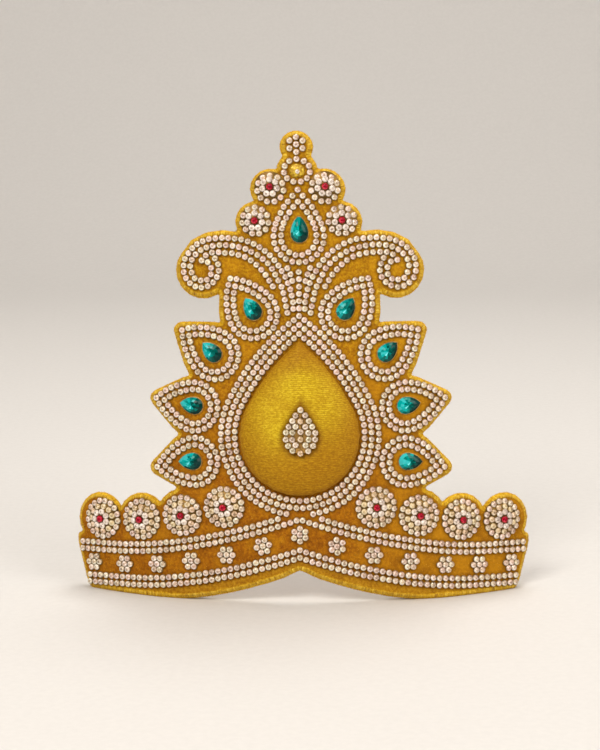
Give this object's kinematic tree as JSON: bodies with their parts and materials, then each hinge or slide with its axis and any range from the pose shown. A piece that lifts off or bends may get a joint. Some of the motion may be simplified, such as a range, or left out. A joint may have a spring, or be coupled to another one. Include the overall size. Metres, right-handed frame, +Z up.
{
  "type": "deity crown",
  "caption": "Bent velvet crown for a deity statue with a brocade cushion, rhinestone rows, teal pear stones, red-centred rosettes and a scrolled crest.",
  "frame": {"origin": "middle of the bounding box at the floor that the crown stands on", "axes": "+X to the right seen from the front, +Y to the back where the head goes, +Z up"},
  "size_m": [0.2062, 0.038, 0.2084],
  "materials": {
    "velvet": "matte",
    "brocade": "satin",
    "crystal": "gloss",
    "teal_stone": "gloss",
    "red_stone": "gloss",
    "gold_backing": "satin"
  },
  "bodies": {
    "root": {"velvet_panel": "velvet", "brocade_cushion": "brocade", "cushion_brooch": "crystal", "cushion_border": "crystal", "crest_border": "crystal", "crest_stone": "teal_stone", "finial_ring": "crystal", "finial_cluster": "crystal", "stem_fan": "crystal", "band_rows_upper": "crystal", "band_rows_lower": "crystal", "scroll_left": "crystal", "petal_border_upper_left": "crystal", "petal_stone_upper_left": "teal_stone", "petal_border_high_left": "crystal", "petal_stone_high_left": "teal_stone", "petal_border_middle_left": "crystal", "petal_stone_middle_left": "teal_stone", "petal_border_low_left": "crystal", "petal_stone_low_left": "teal_stone", "band_rosette_left_1": "crystal", "band_rosette_left_2": "crystal", "band_rosette_left_3": "crystal", "band_rosette_left_4": "crystal", "crest_rosette_upper_left": "crystal", "crest_rosette_lower_left": "crystal", "scroll_right": "crystal", "petal_border_upper_right": "crystal", "petal_stone_upper_right": "teal_stone", "petal_border_high_right": "crystal", "petal_stone_high_right": "teal_stone", "petal_border_middle_right": "crystal", "petal_stone_middle_right": "teal_stone", "petal_border_low_right": "crystal", "petal_stone_low_right": "teal_stone", "band_rosette_right_1": "crystal", "band_rosette_right_2": "crystal", "band_rosette_right_3": "crystal", "band_rosette_right_4": "crystal", "crest_rosette_upper_right": "crystal", "crest_rosette_lower_right": "crystal", "band_flower_1": "crystal", "band_flower_2": "crystal", "band_flower_3": "crystal", "band_flower_4": "crystal", "band_flower_5": "crystal", "band_flower_6": "crystal", "band_flower_7": "crystal", "band_flower_8": "crystal", "band_flower_9": "crystal", "band_flower_10": "crystal", "band_flower_11": "crystal", "band_flower_12": "crystal", "band_flower_13": "crystal"}
  },
  "joints": []
}
